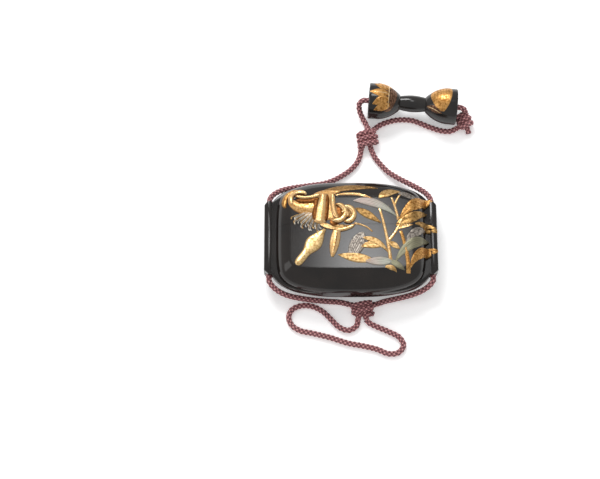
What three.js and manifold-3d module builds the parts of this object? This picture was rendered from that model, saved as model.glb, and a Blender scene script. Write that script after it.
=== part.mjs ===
// A wide lacquered inro lying on its back panel: hollow body and lift-off lid with takamaki-e lilies
// raised on the front, one silk cord through the runners in its sides, and a drum-shaped netsuke.
// Millimetres. +X is the right side, +Y the lid end, +Z out of the front panel; the origin is the
// middle of the back panel, which rests on z = 0.
import * as THREE from 'three';
import { mergeVertices } from 'three/addons/utils/BufferGeometryUtils.js';
import Module from 'manifold-3d';

const wasm = await Module();
wasm.setup();

// ---- driving dimensions ----
const GAP = 0.3; // clearance between pieces that touch
const THICKNESS = 22; // back panel to front panel
const MID = THICKNESS / 2;
const PANEL = { halfWidth: 30.4, halfLength: 18.8, squareness: 9 }; // flat front and back panels
const GIRTH = { halfWidth: 42.6, halfLength: 28.8, squareness: 2.9 }; // widest outline, half way up
const SIDE = 36.8; // half width between the two grooves
const CORNER_BLEND = 16;
const WALL_HALF = 3; // half height of the upright band at the ends
const BEVEL_START = THREE.MathUtils.degToRad(48); // where the domed edge starts on its arc
const BEVEL_STEPS = 5;
const RIM_POINTS = 48;

const SEAM_Y = 4; // where lid meets body
const BODY_WALL = 3;
const LID_WALL = 1.5;
const LIP_HEIGHT = 4.5; // inner lip that the lid slides over

const RUNNER = {
  inner: 39, outer: 42.5, halfHeight: 4, edgeRadius: 1.3, // the raised cord runner
  webHalfHeight: 2.4, webInner: 34, // the groove's floor, front and back
  halfLength: 19.2, cornerCut: 2.2,
  boreX: 40, boreRadius: 1.85,
};

const RELIEF_LOW = 0.55; // leaves and stems
const RELIEF_HIGH = 1.05; // flower and bud
const RELIEF_FOOT = MID; // how deep the relief is rooted before it is fused

const NETSUKE = { length: 45, rim: 9.2, neck: 3.1, bulge: 4.45, cup: 16.4, bore: 2.0, sides: 24 };
NETSUKE.left = new THREE.Vector3(10.2, 76.9, 9.17);
NETSUKE.tilt = THREE.MathUtils.degToRad(-4.7);
NETSUKE.recess = { radius: 6.9, depth: 0.8 };

const CORD_RADIUS = 1.5;
const CORD_SIDES = 8;

// ---- finishes ----
const finish = (color, roughness, metalness) => new THREE.MeshStandardMaterial({ color, roughness, metalness });
const BLACK_LACQUER = finish(0x2b2726, 0.12, 0);
const NETSUKE_LACQUER = finish(0x35302c, 0.15, 0);
const SILK = finish(0x8a4c50, 0.75, 0);

// ---- solids ----
function solidOf(geometry) {
  const bare = geometry.index ? geometry : geometry.clone();
  for (const name of ['normal', 'uv']) bare.deleteAttribute(name);
  const welded = mergeVertices(bare, 1e-4);
  const mesh = new wasm.Mesh({
    numProp: 3,
    vertProperties: Float32Array.from(welded.attributes.position.array),
    triVerts: Uint32Array.from(welded.index.array),
  });
  return new wasm.Manifold(mesh);
}

function geometryOf(solid) {
  const { vertProperties, triVerts } = solid.simplify(0.01).getMesh();
  const geometry = new THREE.BufferGeometry();
  geometry.setAttribute('position', new THREE.BufferAttribute(vertProperties, 3));
  geometry.setIndex(new THREE.BufferAttribute(triVerts, 1));
  geometry.computeVertexNormals();
  return geometry;
}

const union = (solids) => solids.reduce((sum, solid) => sum.add(solid));

// A prism standing on z = from, of an outline given as [x, y] corners.
function prism(outline, from, to) {
  const shape = new THREE.Shape(outline.map(([x, y]) => new THREE.Vector2(x, y)));
  const geometry = new THREE.ExtrudeGeometry(shape, { depth: to - from, bevelEnabled: false });
  return solidOf(geometry.translate(0, 0, from));
}

function block(x0, x1, y0, y1, z0, z1) {
  const geometry = new THREE.BoxGeometry(x1 - x0, y1 - y0, z1 - z0);
  return solidOf(geometry.translate((x0 + x1) / 2, (y0 + y1) / 2, (z0 + z1) / 2));
}

// ---- the case's outer form ----
// Distance from the middle to a rounded-rectangle outline along a bearing.
function reach({ halfWidth, halfLength, squareness }, bearing, inset) {
  const across = Math.abs(Math.cos(bearing)) / (halfWidth - inset);
  const along = Math.abs(Math.sin(bearing)) / (halfLength - inset);
  return (across ** squareness + along ** squareness) ** (-1 / squareness);
}

function girthReach(bearing, inset) {
  const full = reach(GIRTH, bearing, inset);
  const side = (SIDE - inset) / Math.max(Math.abs(Math.cos(bearing)), 1e-6);
  return (full ** -CORNER_BLEND + side ** -CORNER_BLEND) ** (-1 / CORNER_BLEND);
}

// Bearings that crowd at the corners, the same in each quarter.
function bearings() {
  const soften = (v) => Math.sign(v) * Math.abs(v) ** 0.6;
  return Array.from({ length: RIM_POINTS }, (_, i) => {
    const turn = ((i + 0.5) / RIM_POINTS) * 2 * Math.PI;
    return Math.atan2(GIRTH.halfLength * soften(Math.sin(turn)), SIDE * soften(Math.cos(turn)));
  });
}

// Rings of the form from the back panel to the front: how far each lies from panel edge (0) to girth (1),
// and its height. The bevel is the last part of an arc that ends upright at the girth.
function rings(inset) {
  const rise = MID - inset - WALL_HALF;
  const half = [];
  for (let i = 0; i <= BEVEL_STEPS; i++) {
    const angle = BEVEL_START + (Math.PI / 2 - BEVEL_START) * (i / BEVEL_STEPS);
    const start = Math.sin(BEVEL_START);
    half.push({
      spread: (Math.sin(angle) - start) / (1 - start),
      height: WALL_HALF + (rise * Math.cos(angle)) / Math.cos(BEVEL_START),
    });
  }
  const back = half.map(({ spread, height }) => ({ spread, z: MID - height }));
  const front = half.map(({ spread, height }) => ({ spread, z: MID + height })).reverse();
  return [...back, ...front];
}

function core(inset) {
  const around = bearings();
  const levels = rings(inset);
  const positions = [];
  for (const { spread, z } of levels) {
    for (const bearing of around) {
      const panel = reach(PANEL, bearing, inset * 0.6);
      const r = panel + (girthReach(bearing, inset) - panel) * spread;
      positions.push(r * Math.cos(bearing), r * Math.sin(bearing), z);
    }
  }
  const index = [];
  for (let level = 0; level < levels.length - 1; level++) {
    for (let i = 0; i < RIM_POINTS; i++) {
      const a = level * RIM_POINTS + i;
      const b = level * RIM_POINTS + ((i + 1) % RIM_POINTS);
      index.push(a, b, b + RIM_POINTS, a, b + RIM_POINTS, a + RIM_POINTS);
    }
  }
  const top = (levels.length - 1) * RIM_POINTS;
  for (let i = 1; i < RIM_POINTS - 1; i++) {
    index.push(0, i + 1, i, top, top + i, top + i + 1);
  }
  const geometry = new THREE.BufferGeometry();
  geometry.setAttribute('position', new THREE.Float32BufferAttribute(positions, 3));
  geometry.setIndex(index);
  return solidOf(geometry);
}

// The two cord runners: a rounded rib along each side, joined to the case by a thinner web.
function runners(inset) {
  const { inner, outer, halfHeight, edgeRadius, webHalfHeight, webInner, halfLength, cornerCut } = RUNNER;
  const x0 = inner + inset;
  const x1 = outer - inset;
  const h = halfHeight - inset;
  const r = edgeRadius;
  const rib = new THREE.Shape();
  rib.moveTo(x0, -h);
  rib.lineTo(x1 - r, -h);
  rib.absarc(x1 - r, -h + r, r, -Math.PI / 2, 0);
  rib.lineTo(x1, h - r);
  rib.absarc(x1 - r, h - r, r, 0, Math.PI / 2);
  rib.lineTo(x0, h);
  const web = webHalfHeight - inset;
  const end = halfLength - inset;
  const extruded = new THREE.ExtrudeGeometry(rib, { depth: 2 * end, bevelEnabled: false, curveSegments: 3 });
  extruded.rotateX(Math.PI / 2).translate(0, end, MID); // shape's y becomes z, its depth runs along y
  const bar = solidOf(extruded).add(block(webInner, inner + 1, -end, end, MID - web, MID + web));
  const cut = cornerCut;
  const trimmed = bar.intersect(prism([
    [webInner - 1, -end - 1], [x1 - cut - 1, -end - 1], [x1 + 1, -end + cut + 1],
    [x1 + 1, end - cut - 1], [x1 - cut - 1, end + 1], [webInner - 1, end + 1],
  ], 0, THICKNESS));
  return trimmed.add(trimmed.mirror([1, 0, 0]));
}

const outside = (inset) => core(inset).add(runners(inset));

// ---- the raised lilies ----
// Every stem, leaf and petal is a strip that grows from a point: its heading turns by `turn` degrees
// over its length, later when `tighten` is above 1, and its kind gives how its width changes.
const WIDTH_ALONG = {
  stem: (s) => 1 - 0.3 * s,
  leaf: (s) => 0.12 * (1 - s) + 0.95 * Math.sin(Math.PI * s ** 0.85) ** 0.8,
  petal: (s) => 0.3 * (1 - s) + 0.8 * Math.sin(Math.PI * Math.min(1, 0.1 + 0.86 * s)) ** 0.6,
  roll: (s) => Math.min(1, 0.45 + 3 * s, 0.3 + 4 * (1 - s)),
  blade: (s) => 0.16 * (1 - s) + 0.95 * Math.sin(Math.PI * s ** 1.35) ** 0.8,
  bud: (s) => (s < 0.4 ? 0.2 + 0.8 * Math.sin((Math.PI / 0.8) * s) ** 1.6
    : (0.52 + 0.48 * Math.cos(Math.PI * Math.min(0.5, (s - 0.4) / 0.6)) ** 2) * Math.sqrt(1 - s ** 24)),
};
const STEPS = { stem: 3, leaf: 6, petal: 7, roll: 9, blade: 6, bud: 9 };

const FLOWER = [
  { kind: 'petal', x: -14.8, y: 16.8, heading: -122, turn: -146, length: 21, width: 7.6 },
  { kind: 'roll', x: -14.5, y: 20, heading: -150, turn: -260, tighten: 2, length: 22.5, width: 2.4 },
  { kind: 'roll', x: -30.4, y: 12.5, heading: 103, turn: -115, tighten: 1.5, length: 17, width: 2.3 },
  { kind: 'petal', x: -10.8, y: 21, heading: -118, turn: 42, length: 17, width: 6.8 },
  { kind: 'roll', x: -8.8, y: 20.5, heading: -90, turn: 50, tighten: 3, length: 14, width: 2.2 },
  { kind: 'roll', x: -9.2, y: 6.2, heading: -30, turn: 215, length: 16, width: 2.4 },
  { kind: 'roll', x: -3.8, y: 12.7, heading: 20, turn: -215, length: 14.5, width: 2.6 },
  { kind: 'leaf', x: -2.5, y: 11.8, heading: -45, turn: -50, length: 5.5, width: 2 },
  { kind: 'leaf', x: -15, y: 3.6, heading: -10, turn: -20, length: 8, width: 2.6 },
  { kind: 'roll', x: -8, y: 0.8, heading: -4, turn: 42, length: 10.5, width: 2 },
  { kind: 'leaf', x: -9, y: 2.4, heading: -6, turn: 22, length: 8.5, width: 2.6 },
  { kind: 'leaf', x: -6.6, y: 0.4, heading: -106, turn: 16, length: 14.5, width: 4.6 },
  { kind: 'bud', x: -13, y: 0.8, heading: -127, turn: 0, length: 22.4, width: 7.6 },
];

const FOLIAGE = [
  { kind: 'stem', x: 18.8, y: -15.5, heading: 95, turn: 10, length: 28, width: 1.8 },
  { kind: 'stem', x: 17.8, y: -5, heading: 48, turn: 24, length: 14, width: 1.6 },
  { kind: 'stem', x: 27.3, y: -20.8, heading: 90, turn: 18, length: 21.5, width: 2.2 },
  { kind: 'stem', x: 23, y: 6, heading: 99, turn: 12, length: 12.5, width: 1.5 },
  { kind: 'stem', x: 21.3, y: 13.8, heading: 72, turn: -18, length: 6.5, width: 1.2 },
  { kind: 'stem', x: 1.5, y: 4.2, heading: -2, turn: -48, length: 10, width: 1.1 },
  { kind: 'leaf', x: 5.8, y: -0.4, heading: -116, turn: 2, length: 16.2, width: 7.4 },
  { kind: 'leaf', x: 10, y: -14.6, heading: 172, turn: -2, length: 16.8, width: 4.8 },
  { kind: 'leaf', x: 19.5, y: -15.4, heading: 177, turn: 6, length: 13.4, width: 4.6 },
  { kind: 'leaf', x: 18, y: -14.8, heading: -24, turn: -18, length: 9, width: 3.2 },
  { kind: 'leaf', x: 16, y: -18.2, heading: 12, turn: -70, length: 6.5, width: 2.4 },
  { kind: 'leaf', x: 14.5, y: -7.6, heading: 158, turn: 50, length: 10.6, width: 3.8 },
  { kind: 'blade', x: 17.6, y: -10.6, heading: 120, turn: 58, length: 15, width: 3.2 },
  { kind: 'blade', x: 14.4, y: 4.6, heading: 142, turn: 12, length: 14.6, width: 4 },
  { kind: 'leaf', x: 18.4, y: -5.4, heading: -30, turn: -14, length: 6.2, width: 3 },
  { kind: 'blade', x: 23.8, y: 7, heading: 57, turn: -44, length: 21, width: 5.8 },
  { kind: 'leaf', x: 31.5, y: 17.6, heading: 148, turn: 24, length: 9, width: 3.4 },
  { kind: 'leaf', x: 21.8, y: 3.2, heading: 30, turn: -2, length: 18, width: 5 },
  { kind: 'leaf', x: 21.4, y: 1.4, heading: 24, turn: -20, length: 9, width: 2.2 },
  { kind: 'blade', x: 31.2, y: 4.4, heading: 14, turn: -50, length: 12, width: 4.4 },
  { kind: 'blade', x: 26.2, y: -5.6, heading: 60, turn: -44, length: 13.2, width: 4.2 },
  { kind: 'blade', x: 21.4, y: -15, heading: 62, turn: -52, length: 21.6, width: 5.2 },
  { kind: 'blade', x: 28.4, y: -18.2, heading: 74, turn: -76, length: 19.6, width: 5 },
  { kind: 'leaf', x: -16.5, y: 19.8, heading: 24, turn: -34, length: 30.5, width: 3.6 },
  { kind: 'leaf', x: -7.5, y: 19, heading: 14, turn: -40, length: 19, width: 1.6 },
  { kind: 'blade', x: 21.8, y: 8.2, heading: 132, turn: 54, length: 23, width: 4.6 },
  { kind: 'blade', x: 24.4, y: 21.2, heading: 168, turn: 62, length: 12, width: 4.6 },
];

function stripOutline({ kind, x, y, heading, turn, tighten = 1, length, width }) {
  const steps = STEPS[kind];
  const left = [];
  const right = [];
  let [px, py] = [x, y];
  for (let i = 0; i <= steps; i++) {
    const s = i / steps;
    const angle = THREE.MathUtils.degToRad(heading + turn * s ** tighten);
    const half = (width / 2) * Math.max(0.06, WIDTH_ALONG[kind](s));
    left.push([px - half * Math.sin(angle), py + half * Math.cos(angle)]);
    right.unshift([px + half * Math.sin(angle), py - half * Math.cos(angle)]);
    const ahead = THREE.MathUtils.degToRad(heading + turn * ((i + 0.5) / steps) ** tighten);
    px += (length / steps) * Math.cos(ahead);
    py += (length / steps) * Math.sin(ahead);
  }
  return [...right.reverse(), ...left.reverse()];
}

function relief(strips, height) {
  const raised = union(strips.map((strip) => prism(stripOutline(strip), RELIEF_FOOT, THICKNESS + 2)));
  return raised.intersect(outside(-height));
}

// ---- body and lid ----
const FAR = 60;
const closed = outside(0).add(relief(FOLIAGE, RELIEF_LOW)).add(relief(FLOWER, RELIEF_HIGH));
const boreAlong = new THREE.CylinderGeometry(RUNNER.boreRadius, RUNNER.boreRadius, FAR, 16);
const bore = solidOf(boreAlong);
const bores = bore.translate([RUNNER.boreX, 0, MID]).add(bore.translate([-RUNNER.boreX, 0, MID]));
const drilled = closed.subtract(bores);

const below = block(-FAR, FAR, -FAR, SEAM_Y - GAP / 2, -FAR, FAR);
const above = block(-FAR, FAR, SEAM_Y + GAP / 2, FAR, -FAR, FAR);
const lipSlab = block(-FAR, FAR, SEAM_Y - BODY_WALL, SEAM_Y + LIP_HEIGHT, -FAR, FAR);
const lip = core(LID_WALL + GAP).intersect(lipSlab);
const caseBody = drilled.intersect(below).add(lip).subtract(core(BODY_WALL));
const caseLid = drilled.intersect(above).subtract(core(LID_WALL));

// ---- netsuke: a tsuzumi hand drum turned in wood, bored lengthwise for the cord ----
function drumProfile() {
  const { length, rim, neck, bulge, cup, bore, recess } = NETSUKE;
  const half = [
    [bore, recess.depth], [recess.radius, recess.depth], [recess.radius, 0], [rim - 0.9, 0], [rim - 0.1, 0.9],
    [rim, 4.2], [rim - 0.25, 7.4], [rim - 1.2, 10.4], [rim - 3, 13.2], [rim - 4.9, 15.2], [neck, cup],
    [neck + 0.5, cup + 1], [bulge - 0.3, cup + 3.4],
  ];
  const far = half.map(([r, s]) => [r, length - s]).reverse();
  const points = [...half, [bulge, length / 2], ...far, half[0]];
  return points.map(([r, s]) => new THREE.Vector2(r, s));
}

// ---- cord and knots ----
const section = new THREE.Shape(Array.from({ length: CORD_SIDES }, (_, i) => {
  const angle = ((i + 0.5) / CORD_SIDES) * 2 * Math.PI;
  return new THREE.Vector2(CORD_RADIUS * Math.cos(angle), CORD_RADIUS * Math.sin(angle));
}));
const FLOOR = CORD_RADIUS + 0.02; // centre height of a stretch that lies on the table

function cordAlong(points, steps) {
  const path = new THREE.CatmullRomCurve3(points.map(([x, y, z]) => new THREE.Vector3(x, y, z)), false, 'centripetal');
  return new THREE.ExtrudeGeometry(section, { steps, extrudePath: path, bevelEnabled: false });
}

const mouth = RUNNER.halfLength + GAP;
const CORD_ROUTES = {
  cord_top_left: { steps: 9, points: [
    [-40, mouth, 11], [-39.9, 21.4, 10.8], [-38.8, 23.6, 10.2], [-36.2, 26, 9.2], [-32.6, 28, 8],
    [-28.5, 29.4, 6.8], [-24, 30.6, 5.6], [-18.6, 31.9, 4.3], [-13, 33.3, 3.1], [-8.2, 35.4, 2.2],
    [-3.6, 38.2, 1.7], [0.8, 41.6, FLOOR], [4, 45.4, FLOOR], [5.7, 49.4, FLOOR], [6.2, 52.4, FLOOR],
  ] },
  cord_top_right: { steps: 8, points: [
    [40, mouth, 11], [40, 21.2, 10.7], [39.2, 23.6, 9.8], [37.2, 26.4, 8.4], [34, 29.4, 6.6],
    [29.6, 32.8, 4.7], [24.6, 36.4, 3.1], [19.8, 40.2, 2], [16.2, 44.4, FLOOR], [13.2, 48.6, FLOOR],
    [11.6, 52.4, FLOOR],
  ] },
  cord_bottom_left: { steps: 8, points: [
    [-40, -mouth, 11], [-40, -21.2, 10.7], [-38.6, -23.4, 9.7], [-35.4, -25.8, 8.1], [-30.8, -27.4, 6.2],
    [-24.8, -28.2, 4.4], [-18, -28.7, 2.9], [-11.2, -29, 1.9], [-5.4, -29.3, FLOOR], [-1.6, -30.2, FLOOR],
  ] },
  cord_bottom_right: { steps: 8, points: [
    [40, -mouth, 11], [40, -21, 10.6], [38.8, -22.8, 9.7], [36, -24.8, 8.2], [31.8, -26.4, 6.4],
    [26.8, -27.4, 4.5], [21.4, -28.2, 2.9], [16.6, -29, 1.8], [12.9, -30.2, FLOOR],
  ] },
  cord_loop: { steps: 25, points: [
    [3.5, -38.2, FLOOR], [2.7, -41.4, FLOOR], [-1.2, -43.7, FLOOR], [-5.9, -42, FLOOR], [-9.9, -37.9, FLOOR],
    [-13.9, -34, FLOOR], [-19.1, -31.4, FLOOR], [-24.7, -31.2, FLOOR], [-29, -33.4, FLOOR],
    [-30.4, -37.2, FLOOR], [-28.8, -41.2, FLOOR], [-24.8, -43.9, FLOOR], [-19, -45.2, FLOOR],
    [-10.4, -47.4, FLOOR], [-1.8, -50.2, FLOOR], [6.8, -51.9, FLOOR], [12.6, -53.4, FLOOR],
    [18, -55.6, FLOOR], [22.8, -55, FLOOR], [25.4, -51.4, FLOOR], [23.5, -47.4, FLOOR],
    [18.3, -44.4, FLOOR], [12.6, -41.9, FLOOR], [9, -40, FLOOR], [7.4, -38.2, FLOOR],
  ] },
  cord_inner: { steps: 5, points: [
    [9.9, 64.4, FLOOR], [9, 67.2, FLOOR], [7.4, 70, 2.3], [5.8, 73, 4.6], [5.5, 75.8, 7.2], [7.2, 77, 8.9],
    [9.8, 76.94, 9.17],
  ] },
  cord_outer: { steps: 8, points: [
    [12.9, 63.6, FLOOR], [15.2, 66, FLOOR], [18.9, 67.9, FLOOR], [23.6, 69.3, FLOOR], [28.6, 69.7, FLOOR],
    [33.4, 69.1, FLOOR], [38.1, 67.1, FLOOR], [42.9, 65, FLOOR], [47.8, 63.4, FLOOR], [52.2, 63.2, FLOOR],
    [55.2, 64.6, FLOOR],
  ] },
  cord_netsuke_end: { steps: 2, points: [
    [55.4, 73.16, 9.17], [57.4, 73, 8.8], [58.9, 72.6, 7.8], [59.5, 72.2, 6.9],
  ] },
};

// A tied knot as the outer shape of its wraps: squashed rounds side by side across the cord.
function knot(centre, wraps) {
  return union(wraps.map(({ at: [x, y, z], size: [a, b, c] }) => {
    const ball = new THREE.SphereGeometry(1, 10, 6).scale(a, b, c);
    return solidOf(ball.translate(centre[0] + x, centre[1] + y, centre[2] + z));
  }));
}

const KNOTS = {
  knot_upper: knot([9.6, 58.2, 3.3], [
    { at: [0, -2.3, 0], size: [6, 2.9, 3.2] },
    { at: [0, 1.7, 0], size: [5.8, 2.9, 3.2] },
    { at: [1, 4, -0.6], size: [2.6, 1.8, 2.4] },
  ]),
  knot_lower: knot([5.6, -33.4, 3.3], [
    { at: [0, 1.6, 0], size: [6.2, 2.7, 3.1] },
    { at: [0, -1.9, 0], size: [5.4, 2.4, 3.2] },
  ]),
  knot_end: knot([59.6, 67.6, 3.3], [
    { at: [-1.3, -0.4, 0], size: [3, 4.4, 3.1] },
    { at: [1.5, 0.6, 0], size: [2.9, 4.6, 3.2] },
    { at: [0.8, -4.2, -1.2], size: [1.6, 2.2, 1.6] },
  ]),
};

// ---- the inro, piece by piece ----
const inro = new THREE.Group();

function place(name, geometry, material, parent = inro) {
  const mesh = new THREE.Mesh(geometry, material);
  mesh.name = name;
  parent.add(mesh);
  return mesh;
}

place('case_body', geometryOf(caseBody), BLACK_LACQUER);
place('case_lid', geometryOf(caseLid), BLACK_LACQUER);

// The drum's own frame has its axis along +Y; the group lays it down and turns it to its bearing.
const drum = new THREE.Group();
drum.position.copy(NETSUKE.left);
drum.rotation.z = NETSUKE.tilt - Math.PI / 2;
inro.add(drum);
place('netsuke', new THREE.LatheGeometry(drumProfile(), NETSUKE.sides), NETSUKE_LACQUER, drum)
  .rotation.y = Math.PI / NETSUKE.sides;
const threaded = new THREE.CylinderGeometry(CORD_RADIUS, CORD_RADIUS, NETSUKE.length, CORD_SIDES);
place('cord_in_netsuke', threaded, SILK, drum).position.y = NETSUKE.length / 2;

for (const [name, x] of [['cord_in_left_runner', -RUNNER.boreX], ['cord_in_right_runner', RUNNER.boreX]]) {
  const stretch = new THREE.CylinderGeometry(CORD_RADIUS, CORD_RADIUS, 2 * RUNNER.halfLength, CORD_SIDES);
  place(name, stretch, SILK).position.set(x, 0, MID);
}
for (const [name, { points, steps }] of Object.entries(CORD_ROUTES)) place(name, cordAlong(points, steps), SILK);
for (const [name, solid] of Object.entries(KNOTS)) place(name, geometryOf(solid), SILK);

export default inro;
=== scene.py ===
import math

import bmesh
import bpy
import numpy as np
from mathutils import Matrix, Vector


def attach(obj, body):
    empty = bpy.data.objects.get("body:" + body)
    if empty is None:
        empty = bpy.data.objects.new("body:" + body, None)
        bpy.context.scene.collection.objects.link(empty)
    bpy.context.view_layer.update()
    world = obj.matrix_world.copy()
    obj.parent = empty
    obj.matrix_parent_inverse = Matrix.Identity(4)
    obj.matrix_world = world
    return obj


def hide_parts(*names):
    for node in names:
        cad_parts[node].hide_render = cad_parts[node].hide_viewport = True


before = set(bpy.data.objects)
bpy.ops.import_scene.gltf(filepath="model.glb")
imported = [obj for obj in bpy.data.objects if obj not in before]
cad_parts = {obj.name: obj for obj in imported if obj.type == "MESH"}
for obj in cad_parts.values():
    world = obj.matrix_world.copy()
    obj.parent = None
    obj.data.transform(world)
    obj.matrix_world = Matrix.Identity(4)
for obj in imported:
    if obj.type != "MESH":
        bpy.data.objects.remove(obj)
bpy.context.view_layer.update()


# ---- camera ----
# The inro is looked at from well above, straight on to its lower end, from about three quarters of a
# metre away. The view is centred on a point of the table to the left of the case.
CAMERA_RISE = math.radians(69)
CAMERA_AWAY = 0.745
LOOKED_AT = Vector((-0.0249, 0.0043, 0.0))

camera_data = bpy.data.cameras.new("camera")
camera_data.lens = 89.4
camera_data.sensor_width = 36
camera_data.clip_start = 0.01
camera = bpy.data.objects.new("camera", camera_data)
bpy.context.scene.collection.objects.link(camera)
back_along_view = Vector((0, -math.cos(CAMERA_RISE), math.sin(CAMERA_RISE)))
camera.location = LOOKED_AT + back_along_view * CAMERA_AWAY
camera.rotation_euler = (-back_along_view).to_track_quat("-Z", "Y").to_euler()
bpy.context.scene.camera = camera


# ---- the silk cord ----
# One round braid of eight silk strands, dyed a dusty purple-red. It runs from the upper knot down
# through both side runners to the lower knot, with a loop below and a double strand up to the netsuke.
CORD_RADIUS = 0.0015
ON_TABLE = CORD_RADIUS + 0.00002  # height of the cord's middle where it lies on the table
STRANDS_EACH_WAY = 4
BRAID_LAY = 0.0022  # length of braid from one crossing to the next in the same column
BRAID_SIDES = 40
STEPS_PER_LAY = 10
STRAND_THICKNESS = 0.00065
STRAND_DIP = 0.00028  # how far a strand sinks where it passes under another
STRAND_PHASE = 0.25  # turns the braid so that a strand crowns on its left side
STRAND_TIGHTNESS = 1.04  # over 1, a strand's round crown ends just short of its neighbour
POINTS_PER_CURVE = 40
PATH_KEPT = 4  # every fourth point of a path is picked out by declare, which does nothing more with them
RING_POINTS = 10  # points in one turn of a knot

LEFT_STRETCH = [
    (0.0062, 0.0524, ON_TABLE), (0.0057, 0.0494, ON_TABLE), (0.004, 0.0454, ON_TABLE),
    (0.0008, 0.0416, ON_TABLE), (-0.0036, 0.0382, 0.0017), (-0.0082, 0.0354, 0.0022),
    (-0.013, 0.0333, 0.0031), (-0.0186, 0.0319, 0.0043), (-0.024, 0.0306, 0.0056),
    (-0.0285, 0.0294, 0.0068), (-0.0326, 0.028, 0.008), (-0.0362, 0.026, 0.0092),
    (-0.0388, 0.0236, 0.0102), (-0.0399, 0.0214, 0.0108), (-0.04, 0.0195, 0.011),
    (-0.04, 0.008, 0.011), (-0.04, -0.008, 0.011), (-0.04, -0.0195, 0.011),
    (-0.04, -0.0212, 0.0107), (-0.0386, -0.0234, 0.0097), (-0.0354, -0.0258, 0.0081),
    (-0.0308, -0.0274, 0.0062), (-0.0248, -0.0282, 0.0044), (-0.018, -0.0287, 0.0029),
    (-0.0112, -0.029, 0.0019), (-0.0054, -0.0293, ON_TABLE), (-0.0016, -0.0302, ON_TABLE),
]
RIGHT_STRETCH = [
    (0.0116, 0.0524, ON_TABLE), (0.0132, 0.0486, ON_TABLE), (0.0162, 0.0444, ON_TABLE),
    (0.0198, 0.0402, 0.002), (0.0246, 0.0364, 0.0031), (0.0296, 0.0328, 0.0047),
    (0.034, 0.0294, 0.0066), (0.0372, 0.0264, 0.0084), (0.0392, 0.0236, 0.0098),
    (0.04, 0.0212, 0.0107), (0.04, 0.0195, 0.011), (0.04, 0.008, 0.011),
    (0.04, -0.008, 0.011), (0.04, -0.0195, 0.011), (0.04, -0.021, 0.0106),
    (0.0388, -0.0228, 0.0097), (0.036, -0.0248, 0.0082), (0.0318, -0.0264, 0.0064),
    (0.0268, -0.0274, 0.0045), (0.0214, -0.0282, 0.0029), (0.0166, -0.029, 0.0018),
    (0.0129, -0.0302, ON_TABLE),
]
LOWER_LOOP = [
    (0.0035, -0.0382, ON_TABLE), (0.0027, -0.0414, ON_TABLE), (-0.0012, -0.0437, ON_TABLE),
    (-0.0059, -0.042, ON_TABLE), (-0.0099, -0.0379, ON_TABLE), (-0.0139, -0.034, ON_TABLE),
    (-0.0191, -0.0314, ON_TABLE), (-0.0247, -0.0312, ON_TABLE), (-0.029, -0.0334, ON_TABLE),
    (-0.0304, -0.0372, ON_TABLE), (-0.0288, -0.0412, ON_TABLE), (-0.0248, -0.0439, ON_TABLE),
    (-0.019, -0.0452, ON_TABLE), (-0.0104, -0.0474, ON_TABLE), (-0.0018, -0.0502, ON_TABLE),
    (0.0068, -0.0519, ON_TABLE), (0.0126, -0.0534, ON_TABLE), (0.018, -0.0556, ON_TABLE),
    (0.0228, -0.055, ON_TABLE), (0.0254, -0.0514, ON_TABLE), (0.0235, -0.0474, ON_TABLE),
    (0.0183, -0.0444, ON_TABLE), (0.0126, -0.0419, ON_TABLE), (0.009, -0.04, ON_TABLE),
    (0.0074, -0.0382, ON_TABLE),
]
NETSUKE_STRETCH = [
    (0.0099, 0.0644, ON_TABLE), (0.009, 0.0672, ON_TABLE), (0.0074, 0.07, 0.0023),
    (0.0058, 0.073, 0.0046), (0.0055, 0.0758, 0.0072), (0.0072, 0.077, 0.0089),
    (0.0098, 0.07694, 0.00917), (0.0214, 0.07598, 0.00917), (0.0326, 0.07506, 0.00917),
    (0.0438, 0.07414, 0.00917), (0.0554, 0.07316, 0.00917), (0.0574, 0.073, 0.0088),
    (0.0589, 0.0726, 0.0078), (0.0595, 0.0722, 0.0069),
]
OUTER_STRETCH = [
    (0.0129, 0.0636, ON_TABLE), (0.0152, 0.066, ON_TABLE), (0.0189, 0.0679, ON_TABLE),
    (0.0236, 0.0693, ON_TABLE), (0.0286, 0.0697, ON_TABLE), (0.0334, 0.0691, ON_TABLE),
    (0.0381, 0.0671, ON_TABLE), (0.0429, 0.065, ON_TABLE), (0.0478, 0.0634, ON_TABLE),
    (0.0522, 0.0632, ON_TABLE), (0.0552, 0.0646, ON_TABLE),
]


def smooth_route(points, spacing):
    """A centripetal curve through the points, as points an even distance apart."""
    p = np.array(points)
    p = np.vstack([2 * p[0] - p[1], p, 2 * p[-1] - p[-2]])
    fine = []
    for a, b, c, d in zip(p, p[1:], p[2:], p[3:]):
        t1 = np.linalg.norm(b - a) ** 0.5
        t2 = t1 + np.linalg.norm(c - b) ** 0.5
        t3 = t2 + np.linalg.norm(d - c) ** 0.5
        t = np.linspace(t1, t2, POINTS_PER_CURVE, endpoint=False)[:, None]
        ab = (t1 - t) / t1 * a + t / t1 * b
        bc = (t2 - t) / (t2 - t1) * b + (t - t1) / (t2 - t1) * c
        cd = (t3 - t) / (t3 - t2) * c + (t - t2) / (t3 - t2) * d
        abc = (t2 - t) / t2 * ab + t / t2 * bc
        bcd = (t3 - t) / (t3 - t1) * bc + (t - t1) / (t3 - t1) * cd
        fine.append((t2 - t) / (t2 - t1) * abc + (t - t1) / (t2 - t1) * bcd)
    fine = np.vstack(fine + [p[-2]])
    run = np.concatenate([[0], np.cumsum(np.linalg.norm(np.diff(fine, axis=0), axis=1))])
    even = np.linspace(0, run[-1], max(2, round(run[-1] / spacing)) + 1)
    return np.stack([np.interp(even, run, fine[:, i]) for i in range(3)], axis=1)


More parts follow.
